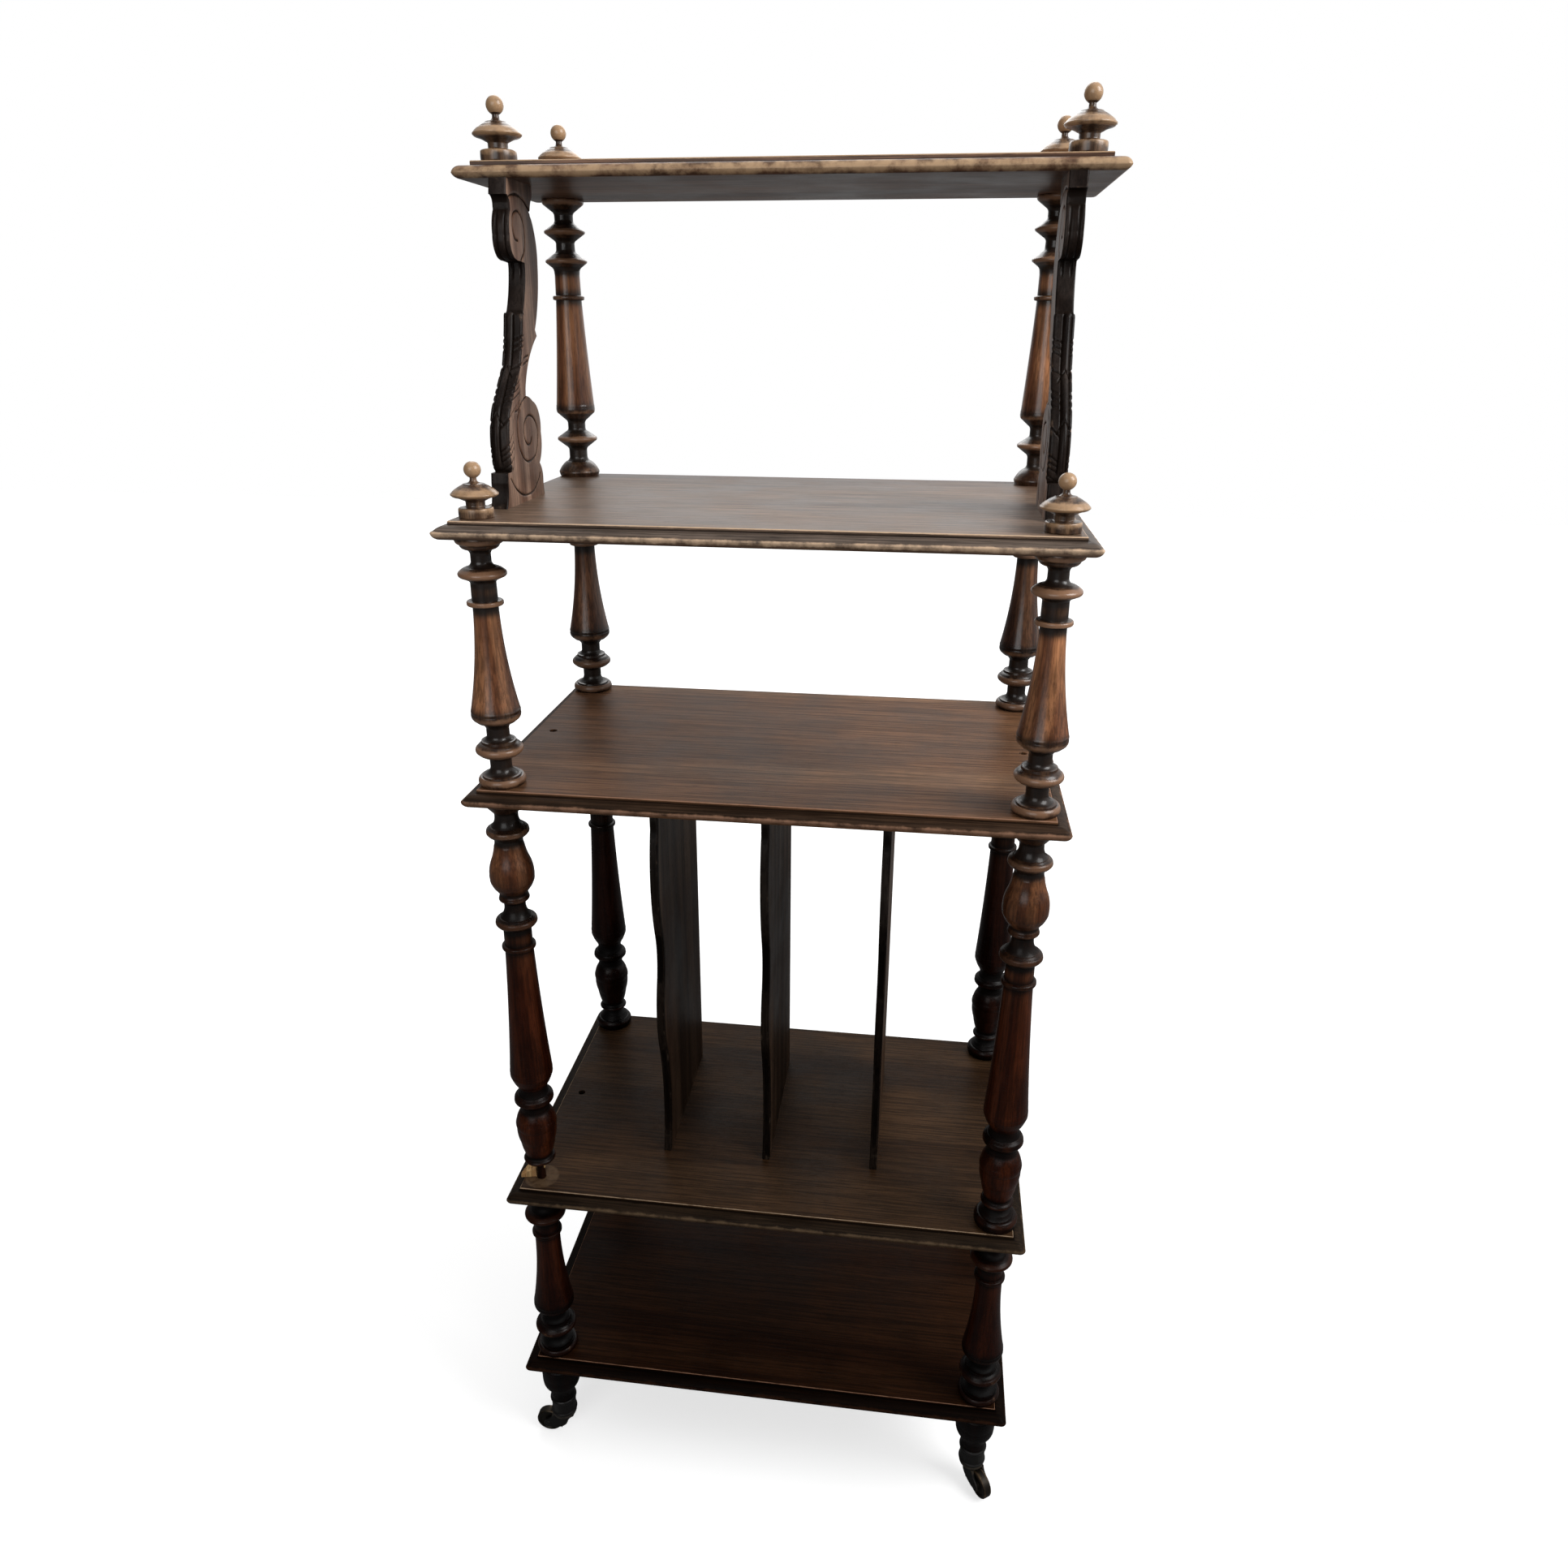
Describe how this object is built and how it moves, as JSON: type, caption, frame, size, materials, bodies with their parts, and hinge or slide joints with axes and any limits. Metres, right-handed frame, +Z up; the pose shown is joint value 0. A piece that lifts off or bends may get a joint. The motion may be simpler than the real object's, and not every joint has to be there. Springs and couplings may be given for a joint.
{
  "type": "mobile shelving unit",
  "caption": "Rolling etagere with moulded shelves on turned columns, a shallow scroll-bracketed top shelf, upright music dividers and swivelling casters.",
  "frame": {"origin": "on the floor, at the centre of the overall box in plan", "axes": "+Z up, +X to the right and -Y to the front as a person faces the unit"},
  "size_m": [0.62, 0.393, 1.5645],
  "materials": {
    "top_board": "satin stained walnut, grain along the width",
    "shelf_board": "satin stained walnut, worn at the nosing",
    "carved_board": "satin dark stained walnut, carved",
    "divider_board": "satin dark stained walnut",
    "column_turning": "polished stained walnut turning",
    "finial_turning": "polished walnut turning with worn rims",
    "foot_turning": "near-black stained turning",
    "caster_iron": "dark patinated casting",
    "wheel_iron": "dark casting, bronze where the tread rubs"
  },
  "bodies": {
    "frame": {"bottom_column_front_left": "column_turning", "bottom_column_front_right": "column_turning", "bottom_column_rear_left": "column_turning", "bottom_column_rear_right": "column_turning", "bottom_shelf": "shelf_board", "caster_cup_front_left": "caster_iron", "caster_cup_front_right": "caster_iron", "caster_cup_rear_left": "caster_iron", "caster_cup_rear_right": "caster_iron", "display_column_rear_left": "column_turning", "display_column_rear_right": "column_turning", "middle_column_front_left": "column_turning", "middle_column_front_right": "column_turning", "middle_column_rear_left": "column_turning", "middle_column_rear_right": "column_turning", "middle_shelf": "shelf_board", "music_column_front_left": "column_turning", "music_column_front_right": "column_turning", "music_column_rear_left": "column_turning", "music_column_rear_right": "column_turning", "music_divider_left": "divider_board", "music_divider_middle": "divider_board", "music_divider_right": "divider_board", "music_shelf": "shelf_board", "scroll_bracket_left": "carved_board", "scroll_bracket_right": "carved_board", "shelf_finial_front_left": "finial_turning", "shelf_finial_front_right": "finial_turning", "top_finial_front_left": "finial_turning", "top_finial_front_right": "finial_turning", "top_finial_rear_left": "finial_turning", "top_finial_rear_right": "finial_turning", "top_shelf": "top_board", "turned_foot_front_left": "foot_turning", "turned_foot_front_right": "foot_turning", "turned_foot_rear_left": "foot_turning", "turned_foot_rear_right": "foot_turning", "upper_shelf": "shelf_board"},
    "horn_front_left": {"caster_horn_front_left": "caster_iron", "caster_axle_front_left": "caster_iron"},
    "wheel_front_left": {"caster_wheel_front_left": "wheel_iron"},
    "horn_front_right": {"caster_horn_front_right": "caster_iron", "caster_axle_front_right": "caster_iron"},
    "wheel_front_right": {"caster_wheel_front_right": "wheel_iron"},
    "horn_rear_left": {"caster_horn_rear_left": "caster_iron", "caster_axle_rear_left": "caster_iron"},
    "wheel_rear_left": {"caster_wheel_rear_left": "wheel_iron"},
    "horn_rear_right": {"caster_horn_rear_right": "caster_iron", "caster_axle_rear_right": "caster_iron"},
    "wheel_rear_right": {"caster_wheel_rear_right": "wheel_iron"}
  },
  "joints": [
    {"name": "swivel_front_left", "type": "hinge", "parent": "frame", "child": "horn_front_left", "pos_m": [-0.2668, -0.16, 0.0352], "axis": [0, 0, 1], "continuous": true},
    {"name": "roll_front_left", "type": "hinge", "parent": "horn_front_left", "child": "wheel_front_left", "pos_m": [-0.2878, -0.16, 0.017], "axis": [0, -1, 0], "continuous": true},
    {"name": "swivel_front_right", "type": "hinge", "parent": "frame", "child": "horn_front_right", "pos_m": [0.2668, -0.16, 0.0352], "axis": [0, 0, 1], "continuous": true},
    {"name": "roll_front_right", "type": "hinge", "parent": "horn_front_right", "child": "wheel_front_right", "pos_m": [0.27854, -0.17741, 0.017], "axis": [0.829, 0.5592, 0], "continuous": true},
    {"name": "swivel_rear_left", "type": "hinge", "parent": "frame", "child": "horn_rear_left", "pos_m": [-0.2668, 0.165, 0.0352], "axis": [0, 0, 1], "continuous": true},
    {"name": "roll_rear_left", "type": "hinge", "parent": "horn_rear_left", "child": "wheel_rear_left", "pos_m": [-0.2496, 0.15296, 0.017], "axis": [0.5736, 0.8192, 0], "continuous": true},
    {"name": "swivel_rear_right", "type": "hinge", "parent": "frame", "child": "horn_rear_right", "pos_m": [0.2668, 0.165, 0.0352], "axis": [0, 0, 1], "continuous": true},
    {"name": "roll_rear_right", "type": "hinge", "parent": "horn_rear_right", "child": "wheel_rear_right", "pos_m": [0.2496, 0.15296, 0.017], "axis": [0.5736, -0.8192, 0], "continuous": true}
  ]
}
